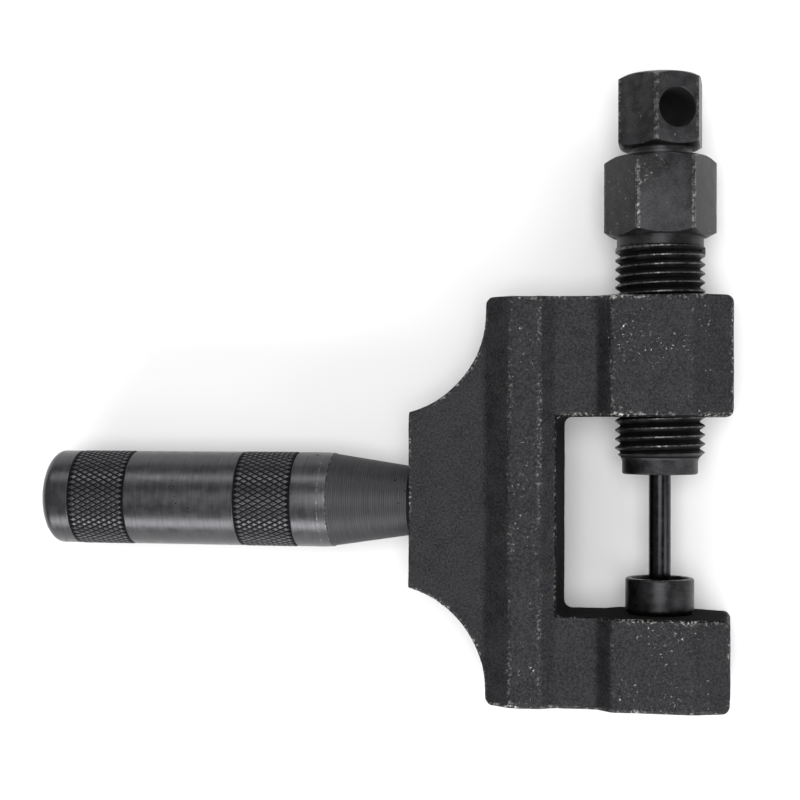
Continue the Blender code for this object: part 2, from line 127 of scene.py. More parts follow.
# Screws.
GUIDE_FLATS = 21.8 * MM
GUIDE_TURN = radians(9)
GUIDE_PITCH = 2 * MM
GUIDE_MAJOR_R = 10 * MM
GUIDE_ROOT_R = 8.85 * MM
GUIDE_SHANK_R = 9.65 * MM
GUIDE_NOSE_R = 8.4 * MM
GUIDE_HEX_LOW = GUIDE_HIGH.y - 17.7 * MM
GUIDE_THREAD_HIGH = GUIDE_HIGH.y - 20.2 * MM
GUIDE_NOSE_HIGH = GUIDE_LOW.y + 3.8 * MM
GUIDE_BORE_R = 7.3 * MM
GUIDE_SPRING_BORE_R = 6.2 * MM
GUIDE_PIN_BORE_R = 2.75 * MM
DRIVE_FLATS = 17.8 * MM
DRIVE_TURN = radians(27.5)
DRIVE_PITCH = 1.5 * MM
DRIVE_MAJOR_R = 7 * MM
DRIVE_ROOT_R = 6.15 * MM
DRIVE_HEX_LOW = DRIVE_HIGH.y - 16.3 * MM
DRIVE_THREAD_HIGH = DRIVE_HIGH.y - 19.1 * MM
DRIVE_DOG_HIGH = DRIVE_LOW.y + 10.4 * MM
DRIVE_DOG_R = 5.6 * MM
DRIVE_COLLAR_R = 7.15 * MM
NOSE_EDGE = 0.5 * MM
BAR_HOLE_R = 4.35 * MM
BAR_HOLE_Y = DRIVE_HIGH.y - 8.1 * MM
BAR_HOLE_ALONG = Vector((sin(DRIVE_TURN), 0, cos(DRIVE_TURN)))
BAR_HOLE_FLARE = 0.2 * MM
# The drill's marks round the bar hole's wall, deeper than real ones so that they can show.
BAR_HOLE_RIPPLES = 30
BAR_HOLE_RIPPLE = 0.1 * MM

# Pin and spring. The spring stays clear of the pin's head when the pin is pressed right in.
PIN_R = 2.45 * MM
PIN_HEAD_R = 5.7 * MM
PIN_HEAD_THICK = 3 * MM
PIN_EDGE = 0.4 * MM
PIN_TRAVEL_IN = 1.7 * MM
WIRE_R = 0.5 * MM
COIL_R = 4.6 * MM
COILS = 8


# ---------------------------------------------------------------- modelling

def started(name):
    """Names the primitive just added, puts its place in its mesh and opens it in edit mode."""
    bpy.ops.object.transform_apply(location=True, rotation=True, scale=True)
    piece = bpy.context.object
    piece.name = piece.data.name = name
    bpy.ops.object.mode_set(mode="EDIT")
    bpy.ops.mesh.select_mode(type="VERT")
    return piece


def pick(piece, kind, chosen):
    """Selects the vertices, edges or faces for which chosen(middle, element) is true, and nothing else."""
    bpy.ops.mesh.select_all(action="DESELECT")
    bpy.ops.mesh.select_mode(type={"verts": "VERT", "edges": "EDGE", "faces": "FACE"}[kind])
    shape = bmesh.from_edit_mesh(piece.data)
    for element in getattr(shape, kind):
        if kind == "verts":
            middle = element.co
        elif kind == "edges":
            middle = (element.verts[0].co + element.verts[1].co) / 2
        else:
            middle = element.calc_center_median()
        if chosen(middle, element):
            element.select_set(True)
    shape.select_flush_mode()
    bmesh.update_edit_mesh(piece.data)


def closed():
    """Merges what meets, faces everything outwards and leaves edit mode."""
    bpy.ops.mesh.select_all(action="SELECT")
    bpy.ops.mesh.remove_doubles(threshold=0.001 * MM)
    bpy.ops.mesh.normals_make_consistent(inside=False)
    bpy.ops.object.mode_set(mode="OBJECT")


def finished_with(piece, kind, **settings):
    """Gives the piece a modifier and applies it."""
    modifier = piece.modifiers.new(kind, kind)
    for name, value in settings.items():
        setattr(modifier, name, value)
    bpy.ops.object.select_all(action="DESELECT")
    piece.select_set(True)
    bpy.context.view_layer.objects.active = piece
    bpy.ops.object.modifier_apply(modifier=modifier.name)


def machined(piece, tool, operation):
    """Cuts the piece with a tool, joins it or keeps what both hold, and takes the tool away."""
    finished_with(piece, "BOOLEAN", operation=operation, object=tool, solver="EXACT")
    bpy.data.objects.remove(tool, do_unlink=True)


def shaded(piece, angle=30):
    """Smooths the shading, except over edges sharper than the angle."""
    bpy.ops.object.select_all(action="DESELECT")
    piece.select_set(True)
    bpy.context.view_layer.objects.active = piece
    bpy.ops.object.shade_smooth_by_angle(angle=radians(angle))


def turned(name, centre, along, profile, steps=ROUND_STEPS):
    """A solid spun about an axis from (place along it, radius) points, which run from end to end."""
    out = Vector((1, 0, 0)) if along.y else Vector((0, 0, 1))
    places = [centre + along * place + out * radius for place, radius in profile]
    bpy.ops.object.select_all(action="DESELECT")
    bpy.ops.mesh.primitive_plane_add(size=MM)
    piece = started(name)
    bpy.ops.mesh.merge(type="CENTER")
    bpy.ops.transform.translate(value=places[0])
    for before, after in zip(places, places[1:]):
        bpy.ops.mesh.extrude_region_move(TRANSFORM_OT_translate={"value": after - before})
    bpy.ops.mesh.select_all(action="SELECT")
    bpy.ops.mesh.spin(steps=steps, angle=2 * pi, center=centre, axis=along)
    closed()
    return piece


def rounded(place, radius, edge, start, end, steps=4):
    """Profile points round an edge: from start to end in degrees, 0 along the axis and 90 outwards."""
    turns = [radians(start + (end - start) * i / steps) for i in range(steps + 1)]
    return [(place + edge * cos(turn), radius + edge * sin(turn)) for turn in turns]


def hexagon(name, flats, low, high, turn, chamfer, edge):
    """A hexagon with its corners turned off at both ends, and its edges dulled."""
    bpy.ops.object.select_all(action="DESELECT")
    corner_r = flats / sqrt(3)
    flat_r = flats / 2 - chamfer
    drop = (corner_r - flat_r) * 0.55
    bpy.ops.mesh.primitive_cylinder_add(
        vertices=6, radius=corner_r, depth=high - low,
        location=(SCREW_X, (low + high) / 2, AXIS_Z), rotation=(radians(-90), turn + radians(30), 0))
    head = started(name)
    bpy.ops.object.mode_set(mode="OBJECT")
    blank = [(low, 0), (low, flat_r), (low + drop, corner_r), (high - drop, corner_r), (high, flat_r),
             (high, 0)]
    machined(head, turned(name + "_blank", SCREW_AXIS, ALONG_SCREW, blank), "INTERSECT")
    finished_with(head, "BEVEL", width=edge, segments=2, limit_method="ANGLE",
                  angle_limit=radians(16))
    return head


def swept(outline, pitch, turns, steps):
    """Sweeps an outline along a right-hand helix round the screws' axis, and closes its two ends."""
    finished_with(outline, "SCREW", axis="Y", angle=2 * pi, screw_offset=pitch, steps=steps,
                  render_steps=steps, iterations=turns, use_merge_vertices=False)
    bpy.ops.object.transform_apply(location=True, rotation=True, scale=True)
    bpy.ops.object.mode_set(mode="EDIT")
    bpy.ops.mesh.select_all(action="SELECT")
    bpy.ops.mesh.remove_doubles(threshold=0.001 * MM)
    bpy.ops.mesh.fill_holes(sides=0)
    closed()


def thread_tool(name, root_r, major_r, pitch, low, high, steps=64):
    """The helical wedge that cuts a right-hand V thread between low and high."""
    clear_r = major_r + 0.06 * MM
    root_flat = pitch / 8
    crest_flat = pitch / 10
    bpy.ops.object.select_all(action="DESELECT")
    bpy.ops.mesh.primitive_plane_add(size=1, location=(SCREW_X, low, AXIS_Z))
    wedge = bpy.context.object
    wedge.name = name
    bpy.ops.object.mode_set(mode="EDIT")
    bpy.ops.transform.resize(value=(clear_r - root_r, root_flat, 1), center_override=wedge.location)
    bpy.ops.transform.translate(value=((clear_r + root_r) / 2, 0, 0))
    pick(wedge, "verts", lambda place, vert: place.x > (clear_r + root_r) / 2)
    bpy.ops.transform.resize(value=(1, (pitch - crest_flat) / root_flat, 1), center_override=wedge.location)
    bpy.ops.mesh.select_all(action="SELECT")
    bpy.ops.mesh.delete(type="ONLY_FACE")
    bpy.ops.object.mode_set(mode="OBJECT")
    swept(wedge, pitch, int((high - low) / pitch), steps)
    return wedge


def block(name, low, high):
    """A box from corner to corner, opened in edit mode."""
    bpy.ops.object.select_all(action="DESELECT")
    bpy.ops.mesh.primitive_cube_add(size=1, location=(low + high) / 2, scale=high - low)
    return started(name)


# ---------------------------------------------------------------- pieces

def make_frame():
    """The C forging: thicknesses drawn out station by station, then cut to its outline and drilled."""
    forging = block("forged_frame", FRAME_LOW, FRAME_HIGH)
    for along, _ in FRAME_STATIONS[1:-1]:
        bpy.ops.mesh.select_all(action="SELECT")
        bpy.ops.mesh.bisect(plane_co=(SCREW_X + along, 0, 0), plane_no=(1, 0, 0))
    for along, half in FRAME_STATIONS:
        pick(forging, "verts", lambda place, vert: abs(place.x - SCREW_X - along) < NEAR)
        bpy.ops.transform.resize(value=(1, 1, half / BOSS_HALF), center_override=(0, 0, AXIS_Z))
    bpy.ops.object.mode_set(mode="OBJECT")

    behind, ahead = FRAME_LOW.z - TOOL_PAST, FRAME_HIGH.z + TOOL_PAST
    beyond = FRAME_HIGH.x + TOOL_PAST
    throat = block("throat_tool", Vector((THROAT_X, LOWER_ARM_FACE, behind)),
                   Vector((beyond, UPPER_ARM_FACE, ahead)))
    pick(throat, "edges", lambda place, edge: abs(place.x - THROAT_X) < MM and abs(place.z - AXIS_Z) < MM)
    bpy.ops.mesh.bevel(offset=OUTLINE_CORNER_R, segments=5, affect="EDGES")
    bpy.ops.object.mode_set(mode="OBJECT")
    machined(forging, throat, "DIFFERENCE")

    end = block("lower_arm_end_tool", Vector((LOWER_ARM_END_X, FRAME_LOW.y - TOOL_PAST, behind)),
                Vector((beyond, MIDDLE_Y, ahead)))
    bpy.ops.object.mode_set(mode="OBJECT")
    machined(forging, end, "DIFFERENCE")

    for side in (1, -1):
        bpy.ops.object.select_all(action="DESELECT")
        bpy.ops.mesh.primitive_cylinder_add(
            vertices=128, radius=SCOOP_R, depth=4 * BOSS_HALF,
            location=(SCOOP_RIGHT_X - SCOOP_R, MIDDLE_Y + side * SCOOP_RISE, AXIS_Z))
        scoop = started("scoop_tool")
        pick(scoop, "verts", lambda place, vert: (place.y - MIDDLE_Y) * side > SCOOP_RISE + NEAR)
        bpy.ops.transform.translate(value=(0, side * 20 * MM, 0))
        bpy.ops.object.mode_set(mode="OBJECT")
        machined(forging, scoop, "DIFFERENCE")

    corners = [(SCOOP_RIGHT_X, FRAME_LOW.y), (SCOOP_RIGHT_X, FRAME_HIGH.y), (FRAME_HIGH.x, FRAME_HIGH.y),
               (FRAME_HIGH.x, UPPER_ARM_FACE), (LOWER_ARM_END_X, LOWER_ARM_FACE),
               (LOWER_ARM_END_X, FRAME_LOW.y)]

    def at_corner(place, edge):
        run = edge.verts[0].co - edge.verts[1].co
        upright = abs(run.x) < NEAR and abs(run.y) < NEAR
        return upright and any(abs(place.x - x) < NEAR and abs(place.y - y) < NEAR for x, y in corners)

    bpy.ops.object.mode_set(mode="EDIT")
    pick(forging, "edges", at_corner)
    bpy.ops.mesh.bevel(offset=OUTLINE_CORNER_R, segments=4, affect="EDGES")
    bpy.ops.object.mode_set(mode="OBJECT")
    finished_with(forging, "BEVEL", width=FORGED_EDGE_R, segments=3, limit_method="ANGLE",
                  angle_limit=radians(20), use_clamp_overlap=True)

    above, below = FRAME_HIGH.y + 2 * MM, FRAME_LOW.y - 2 * MM
    screw_hole = [(MIDDLE_Y, 0), (MIDDLE_Y, SCREW_HOLE_R), (FRAME_HIGH.y - 0.8 * MM, SCREW_HOLE_R),
                  (above, SCREW_HOLE_R + 2.8 * MM), (above, 0)]
    anvil_hole = [(below, 0), (below, EXIT_HOLE_R + 2.5 * MM), (FRAME_LOW.y + 0.5 * MM, EXIT_HOLE_R),
                  (ANVIL_SEAT_Y, EXIT_HOLE_R), (ANVIL_SEAT_Y, ANVIL_HOLE_R), (MIDDLE_Y, ANVIL_HOLE_R),
                  (MIDDLE_Y, 0)]
    handle_hole = [(FRAME_LOW.x - MM, 0), (FRAME_LOW.x - MM, HANDLE_HOLE_R),
                   (HANDLE_HOLE_END_X, HANDLE_HOLE_R), (HANDLE_HOLE_END_X, 0)]
    for name, centre, along, profile in (("screw_hole_tool", SCREW_AXIS, ALONG_SCREW, screw_hole),
                                         ("anvil_hole_tool", SCREW_AXIS, ALONG_SCREW, anvil_hole),
                                         ("handle_hole_tool", HANDLE_AXIS, ALONG_HANDLE, handle_hole)):
        machined(forging, turned(name, centre, along, profile), "DIFFERENCE")

    finished_with(forging, "REMESH", mode="VOXEL", voxel_size=FORGED_VOXEL, use_smooth_shade=True)
    finished_with(forging, "SMOOTH", factor=0.5, iterations=2)
    for name, width, height in FORGED_RELIEF:
        clouds = bpy.data.textures.new(name, "CLOUDS")
        clouds.noise_scale = width
        finished_with(forging, "DISPLACE", texture=clouds, texture_coords="LOCAL", strength=height,
                      mid_level=0.5)
    return forging


def make_handle():
    """The turned bar, with its two knurled bands rolled into it as rows of flat-topped diamonds."""
    end = HANDLE_LOW.x
    groove_r = HANDLE_R - KNURL_GROOVE
    taper = HANDLE_SHOULDER_X - HANDLE_TAPER
    undercut = HANDLE_SHOULDER_X - FIT_GAP
    profile = [(end, 0)]
    profile += [(end + HANDLE_DOME * (1 - cos(turn)), HANDLE_END_R + (HANDLE_R - HANDLE_END_R) * sin(turn))
                for turn in (radians(9 * i) for i in range(11))]
    bands = []
    for first, last in KNURL_BANDS:
        row = (last - first) / KNURL_ROWS
        bands.append((end + first, row))
        profile += [(end + first - KNURL_RAMP, HANDLE_R)]
        profile += [(end + first + row * i, groove_r) for i in range(KNURL_ROWS + 1)]
        profile += [(end + last + KNURL_RAMP, HANDLE_R)]
    profile += [(taper, HANDLE_R), (taper + TAPER_LAND, HANDLE_R - 0.12 * MM),
                (taper + TAPER_LAND + 0.1 * MM, HANDLE_R - 0.3 * MM),
                (HANDLE_SHOULDER_X - 0.65 * MM, HANDLE_NECK_R + 0.1 * MM),
                (undercut, HANDLE_NECK_R - 0.3 * MM), (undercut, SPIGOT_R),
                (HANDLE_HIGH.x - MM, SPIGOT_R), (HANDLE_HIGH.x, SPIGOT_R - MM), (HANDLE_HIGH.x, 0)]
    handle = turned("knurled_handle", HANDLE_AXIS, ALONG_HANDLE, profile, steps=KNURL_COLUMNS)

    def on_band(place, face):
        return any(start < place.x < start + row * KNURL_ROWS for start, row in bands)

    def crest(place, vert):
        turn = atan2(place.z - HANDLE_AXIS.z, place.y - HANDLE_AXIS.y)
        column = round(turn / (2 * pi) * KNURL_COLUMNS + 0.25)
        for start, row in bands:
            count = round((place.x - start) / row)
            if 0 < count < KNURL_ROWS and abs(place.x - start - row * count) < NEAR:
                return (count + column) % 2 == 0
        return False

    bpy.ops.object.mode_set(mode="EDIT")
    pick(handle, "verts", crest)
    grow = (HANDLE_R + KNURL_CREST) / groove_r
    bpy.ops.transform.resize(value=(1, grow, grow), center_override=HANDLE_AXIS)
    pick(handle, "faces", on_band)
    bpy.ops.mesh.quads_convert_to_tris(quad_method="SHORTEST_DIAGONAL")
    pick(handle, "verts", crest)
    bpy.ops.mesh.bevel(offset=KNURL_FLAT, affect="VERTICES")
    closed()
    shaded(handle, 20)
    return handle


def make_anvil():
    """The cup, with a rolled rim, a rounded foot and a shallow dished floor."""
    low, high = ANVIL_LOW.y, ANVIL_HIGH.y
    foot = LOWER_ARM_FACE + FIT_GAP
    floor = high - ANVIL_CUP_DEPTH
    profile = [(low, EXIT_HOLE_R), (low, ANVIL_SPIGOT_R), (foot, ANVIL_SPIGOT_R)]
    profile += rounded(foot + ANVIL_FOOT_EDGE, ANVIL_R - ANVIL_FOOT_EDGE, ANVIL_FOOT_EDGE, 180, 90)
    profile += rounded(high - ANVIL_RIM_EDGE, ANVIL_R - ANVIL_RIM_EDGE, ANVIL_RIM_EDGE, 90, 0)
    profile += rounded(high - ANVIL_LIP_EDGE, ANVIL_CUP_R + ANVIL_LIP_EDGE, ANVIL_LIP_EDGE, 0, -90)
    profile += [(floor + 0.5 * MM, ANVIL_CUP_R - 0.1 * MM), (floor, ANVIL_CUP_R - 0.6 * MM),
                (floor, EXIT_HOLE_R + 0.4 * MM), (floor - 0.4 * MM, EXIT_HOLE_R), (low, EXIT_HOLE_R)]
    anvil = turned("cupped_anvil", SCREW_AXIS, ALONG_SCREW, profile)
    shaded(anvil)
    return anvil


def make_guide_screw():
    """Hexagon and threaded shank in one, bored right through for the pin, its spring and the drive screw."""
    low, high = GUIDE_LOW.y, GUIDE_HIGH.y
    inside_head = GUIDE_HEX_LOW + 2 * MM
    shank = [(low, 0)] + rounded(low + NOSE_EDGE, GUIDE_NOSE_R - NOSE_EDGE, NOSE_EDGE, 180, 90)
    shank += [(GUIDE_NOSE_HIGH - 0.9 * MM, GUIDE_NOSE_R), (GUIDE_NOSE_HIGH, GUIDE_ROOT_R - 0.1 * MM),
              (GUIDE_NOSE_HIGH + 1.1 * MM, GUIDE_MAJOR_R), (GUIDE_THREAD_HIGH, GUIDE_MAJOR_R),
              (GUIDE_THREAD_HIGH + 0.35 * MM, GUIDE_SHANK_R), (inside_head, GUIDE_SHANK_R),
              (inside_head, 0)]
    shank = turned("guide_shank", SCREW_AXIS, ALONG_SCREW, shank, steps=90)
    wedge = thread_tool("guide_thread_tool", GUIDE_ROOT_R, GUIDE_MAJOR_R, GUIDE_PITCH,
                        GUIDE_NOSE_HIGH - GUIDE_PITCH, GUIDE_THREAD_HIGH)
    machined(shank, wedge, "DIFFERENCE")
    screw = hexagon("threaded_guide_screw", GUIDE_FLATS, GUIDE_HEX_LOW, high, GUIDE_TURN,
                    chamfer=0.3 * MM, edge=0.16 * MM)
    machined(screw, shank, "UNION")
    spring_low, spring_high = low + 4.3 * MM, low + 25.8 * MM
    bore = [(low - MM, 0), (low - MM, GUIDE_PIN_BORE_R), (spring_low, GUIDE_PIN_BORE_R),
            (spring_low, GUIDE_SPRING_BORE_R), (spring_high, GUIDE_SPRING_BORE_R),
            (spring_high + GUIDE_BORE_R - GUIDE_SPRING_BORE_R, GUIDE_BORE_R),
            (high - 0.5 * MM, GUIDE_BORE_R), (high + MM, GUIDE_BORE_R + 1.5 * MM), (high + MM, 0)]
    machined(screw, turned("guide_bore_tool", SCREW_AXIS, ALONG_SCREW, bore, steps=64), "DIFFERENCE")
    shaded(screw, 28)
    return screw


def make_drive_screw():
    """The smaller hexagon with its bar hole, grooved collar, thread and dog point."""
    low, high = DRIVE_LOW.y, DRIVE_HIGH.y
    groove_r, relief_r = DRIVE_COLLAR_R - 0.35 * MM, DRIVE_MAJOR_R - 0.35 * MM
    inside_head = DRIVE_HEX_LOW + 2 * MM
    shank = [(low, 0), (low, DRIVE_DOG_R - NOSE_EDGE), (low + NOSE_EDGE, DRIVE_DOG_R),
             (DRIVE_DOG_HIGH, DRIVE_DOG_R), (DRIVE_DOG_HIGH + DRIVE_MAJOR_R - DRIVE_DOG_R, DRIVE_MAJOR_R),
             (DRIVE_THREAD_HIGH, DRIVE_MAJOR_R), (DRIVE_THREAD_HIGH + 0.3 * MM, relief_r),
             (DRIVE_THREAD_HIGH + 0.8 * MM, relief_r), (DRIVE_THREAD_HIGH + 1.0 * MM, DRIVE_COLLAR_R),
             (DRIVE_HEX_LOW - 0.75 * MM, DRIVE_COLLAR_R), (DRIVE_HEX_LOW - 0.6 * MM, groove_r),
             (inside_head, groove_r), (inside_head, 0)]
    shank = turned("drive_shank", SCREW_AXIS, ALONG_SCREW, shank, steps=70)
    wedge = thread_tool("drive_thread_tool", DRIVE_ROOT_R, DRIVE_MAJOR_R, DRIVE_PITCH,
                        DRIVE_DOG_HIGH - DRIVE_PITCH, DRIVE_THREAD_HIGH, steps=48)
    machined(shank, wedge, "DIFFERENCE")
    screw = hexagon("threaded_drive_screw", DRIVE_FLATS, DRIVE_HEX_LOW, high, DRIVE_TURN,
                    chamfer=0.5 * MM, edge=0.32 * MM)
    machined(screw, shank, "UNION")
    outside = DRIVE_FLATS
    inside = DRIVE_FLATS / 2 - BAR_HOLE_FLARE
    mouth_r = BAR_HOLE_R + outside - inside
    hole = [(-outside, 0), (-outside, mouth_r), (-inside, BAR_HOLE_R)]
    hole += [(inside * (2 * i / BAR_HOLE_RIPPLES - 1), BAR_HOLE_R - BAR_HOLE_RIPPLE * (i % 2))
             for i in range(1, BAR_HOLE_RIPPLES)]
    hole += [(inside, BAR_HOLE_R), (outside, mouth_r), (outside, 0)]
    drill = turned("bar_hole_tool", Vector((0, 0, 0)), ALONG_SCREW, hole, steps=48)
    drill.matrix_world = (Matrix.Translation((SCREW_X, BAR_HOLE_Y, AXIS_Z))
                          @ Matrix.Rotation(DRIVE_TURN, 4, "Y") @ Matrix.Rotation(radians(90), 4, "X"))
    machined(screw, drill, "DIFFERENCE")
    shaded(screw, 28)
    return screw


def make_push_pin():
    """The ground pin, with its head and a dulled tip."""
    low, high = PIN_LOW.y, PIN_HIGH.y
    under_head = high - PIN_HEAD_THICK
    head_edge_r = PIN_HEAD_R - PIN_EDGE
    profile = [(low, 0)] + rounded(low + PIN_EDGE, PIN_R - PIN_EDGE, PIN_EDGE, 180, 90)
    profile += [(under_head - PIN_EDGE, PIN_R), (under_head, PIN_R + PIN_EDGE)]
    profile += rounded(under_head + PIN_EDGE, head_edge_r, PIN_EDGE, 180, 90)
    profile += rounded(high - PIN_EDGE, head_edge_r, PIN_EDGE, 90, 0) + [(high, 0)]
    pin = turned("ground_push_pin", SCREW_AXIS, ALONG_SCREW, profile, steps=64)
    shaded(pin)
    return pin


def make_pin_spring():
    """The coiled wire round the pin."""
    low = SPRING_LOW.y + WIRE_R
    pitch = (SPRING_HIGH.y - PIN_TRAVEL_IN - WIRE_R - low) / COILS
    bpy.ops.object.select_all(action="DESELECT")
    bpy.ops.mesh.primitive_circle_add(vertices=14, radius=WIRE_R, location=(SCREW_X, low, AXIS_Z))
    spring = bpy.context.object
    spring.name = spring.data.name = "coiled_pin_spring"
    bpy.ops.object.mode_set(mode="EDIT")
    bpy.ops.transform.translate(value=(COIL_R, 0, 0))
    bpy.ops.object.mode_set(mode="OBJECT")
    swept(spring, pitch, COILS, steps=40)
    shaded(spring)
    return spring


# ---------------------------------------------------------------- finishes

def linear(colour):
    """A colour such as 3A3A3C as a linear RGBA value."""
    parts = [int(colour[i:i + 2], 16) / 255 for i in (0, 2, 4)]
    return (*(p / 12.92 if p <= 0.04045 else ((p + 0.055) / 1.055) ** 2.4 for p in parts), 1)


def add(material, kind, inputs=None, out=0, **settings):
    """Adds a node and returns one output. Inputs maps a socket to a value, or to the output that feeds it."""
    tree = material.node_tree
    node = tree.nodes.new(kind)
    for name, value in settings.items():
        setattr(node, name, value)
    for socket, value in (inputs or {}).items():
        if isinstance(value, bpy.types.NodeSocket):
            tree.links.new(value, node.inputs[socket])
        else:
            node.inputs[socket].default_value = value
    return node.outputs[out]


HOLLOW_ROUGHNESS = 0.9
RUBBED_ROUGHNESS = 0.34
# The parts of the grit's and the haze's noise that are spread over the whole change they make.
GRIT_LOW, GRIT_HIGH = 0.37, 0.63
HAZE_LOW, HAZE_HIGH = 0.3, 0.7


def blackened(name, colours, metallic, roughness, grit, haze, relief, stretch=(1, 1, 1), grit_share=0.5,
              painted_shade_and_marks=None, wear_and_highlights=None, wear_and_highlight_colour="B4B2AD", edge_tint=1.0):
    """Black-finished steel with a fine grit and a broad haze, with painted shade in hollows, and lighter on
    worn places and painted highlights.

    The colours are those of the painted shade in hollows, the darkest grit and the lightest grit. Roughness
    runs from the smoothest haze to the dullest. Grit and haze are the sizes of their marks and relief is how
    high the grit stands. Stretch draws the grit out into rings or streaks.
    """
    material = bpy.data.materials.new(name)
    material.use_nodes = True
    shader = material.node_tree.nodes["Principled BSDF"]
    shader.inputs["Metallic"].default_value = metallic
    shader.inputs["Specular Tint"].default_value = (edge_tint, edge_tint, edge_tint, 1)
    place = add(material, "ShaderNodeTexCoord", out="Object")
    drawn_out = add(material, "ShaderNodeMapping", {"Vector": place, "Scale": stretch})
    fine = add(material, "ShaderNodeTexNoise", {"Vector": drawn_out, "Scale": 1 / grit, "Detail": 7,
                                                "Roughness": 0.68})
    broad = add(material, "ShaderNodeTexNoise", {"Vector": place, "Scale": 1 / haze, "Detail": 4})
    tone = add(material, "ShaderNodeMix", {"Factor": 1 - grit_share, "A": fine, "B": broad})
    tone = add(material, "ShaderNodeMapRange", {"Value": tone, "From Min": GRIT_LOW, "From Max": GRIT_HIGH},
               interpolation_type="SMOOTHSTEP")
    colour = add(material, "ShaderNodeMix", {0: tone, 6: linear(colours[1]), 7: linear(colours[2])}, out=2,
                 data_type="RGBA")
    rough = add(material, "ShaderNodeMapRange", {"Value": broad, "From Min": HAZE_LOW, "From Max": HAZE_HIGH,
                                                 "To Min": roughness[0], "To Max": roughness[1]})
    # Painted shade: hollows such as the throat's walls, knurl grooves and thread roots are darkened towards
    # the first colour.
    if painted_shade_and_marks:
        darkened = painted_shade_and_marks(material, place)
        colour = add(material, "ShaderNodeMix", {0: darkened, 6: colour, 7: linear(colours[0])}, out=2,
                     data_type="RGBA")
        rough = add(material, "ShaderNodeMix", {"Factor": darkened, "A": rough, "B": HOLLOW_ROUGHNESS})
    # Worn places and painted highlights are lightened towards the wear and highlight colour.
    if wear_and_highlights:
        lightened = wear_and_highlights(material, place)
        colour = add(material, "ShaderNodeMix", {0: lightened, 6: colour, 7: linear(wear_and_highlight_colour)}, out=2,
                     data_type="RGBA")
        rough = add(material, "ShaderNodeMix", {"Factor": lightened, "A": rough, "B": RUBBED_ROUGHNESS})
    bump = add(material, "ShaderNodeBump", {"Height": fine, "Distance": relief})
    for socket, value in (("Base Color", colour), ("Roughness", rough), ("Normal", bump)):
        material.node_tree.links.new(value, shader.inputs[socket])
    return material


def specks(material, place, size, low, high, shift=0):
    """Scattered flecks: none where the noise is under low, full where it is over high."""
    spot = add(material, "ShaderNodeMapping", {"Vector": place, "Location": (shift, shift, 0)})
    noise = add(material, "ShaderNodeTexNoise", {"Vector": spot, "Scale": 1 / size, "Detail": 4,
                                                 "Roughness": 0.7})
    return add(material, "ShaderNodeMapRange", {"Value": noise, "From Min": low, "From Max": high},
               interpolation_type="SMOOTHSTEP")


def from_axis(material, place, centre, across):
    """How far a point is from the axis through centre, measured in the across directions."""
    offset = add(material, "ShaderNodeVectorMath", {0: place, 1: centre}, operation="SUBTRACT")
    offset = add(material, "ShaderNodeVectorMath", {0: offset, 1: across}, operation="MULTIPLY")
    return add(material, "ShaderNodeVectorMath", {0: offset}, out="Value", operation="LENGTH")


def within(material, value, low, high, blur):
    """1 where the value is between low and high, and 0 outside, with blurred ends."""
    above = add(material, "ShaderNodeMapRange", {"Value": value, "From Min": low - blur, "From Max": low})
    below = add(material, "ShaderNodeMapRange", {"Value": value, "From Min": high + blur, "From Max": high})
    return add(material, "ShaderNodeMath", {0: above, 1: below}, operation="MULTIPLY")


def throat_painted_shade(material, place):
    """Painted shade on the walls of the throat, which nothing rubs: they are darkened to the forging's first
    colour.
    """
    along = add(material, "ShaderNodeSeparateXYZ", {0: place}, out="X")
    height = add(material, "ShaderNodeSeparateXYZ", {0: place}, out="Y")
    back = within(material, along, THROAT_X - 0.25 * MM, FRAME_HIGH.x, 0.2 * MM)
    gap = within(material, height, LOWER_ARM_FACE - 0.25 * MM, UPPER_ARM_FACE + 0.25 * MM, 0.2 * MM)
    return add(material, "ShaderNodeMath", {0: back, 1: gap}, operation="MULTIPLY")


def forging_rubbed(material, place):
    """Bright flecks on the corners of the forging, and a few on its highest faces."""
    bend = add(material, "ShaderNodeNewGeometry", out="Pointiness")
    corners = within(material, bend, 0.535, 1, 0.03)
    corners = add(material, "ShaderNodeMath", {0: corners, 1: specks(material, place, 0.7 * MM, 0.5, 0.66)},
                  operation="MULTIPLY")
    corners = add(material, "ShaderNodeMath", {0: corners, 1: specks(material, place, 7 * MM, 0.38, 0.6)},
                  operation="MULTIPLY")
    height = from_axis(material, place, SCREW_AXIS, (0, 0, 1))
    tops = within(material, height, 11.9 * MM, 20 * MM, 0.3 * MM)
    tops = add(material, "ShaderNodeMath", {0: tops, 1: specks(material, place, 0.7 * MM, 0.62, 0.7, 3 * MM)},
               operation="MULTIPLY")
    tops = add(material, "ShaderNodeMath", {0: tops, 1: specks(material, place, 8 * MM, 0.48, 0.6, 9 * MM)},
               operation="MULTIPLY")
    return add(material, "ShaderNodeMath", {0: corners, 1: tops}, operation="MAXIMUM")


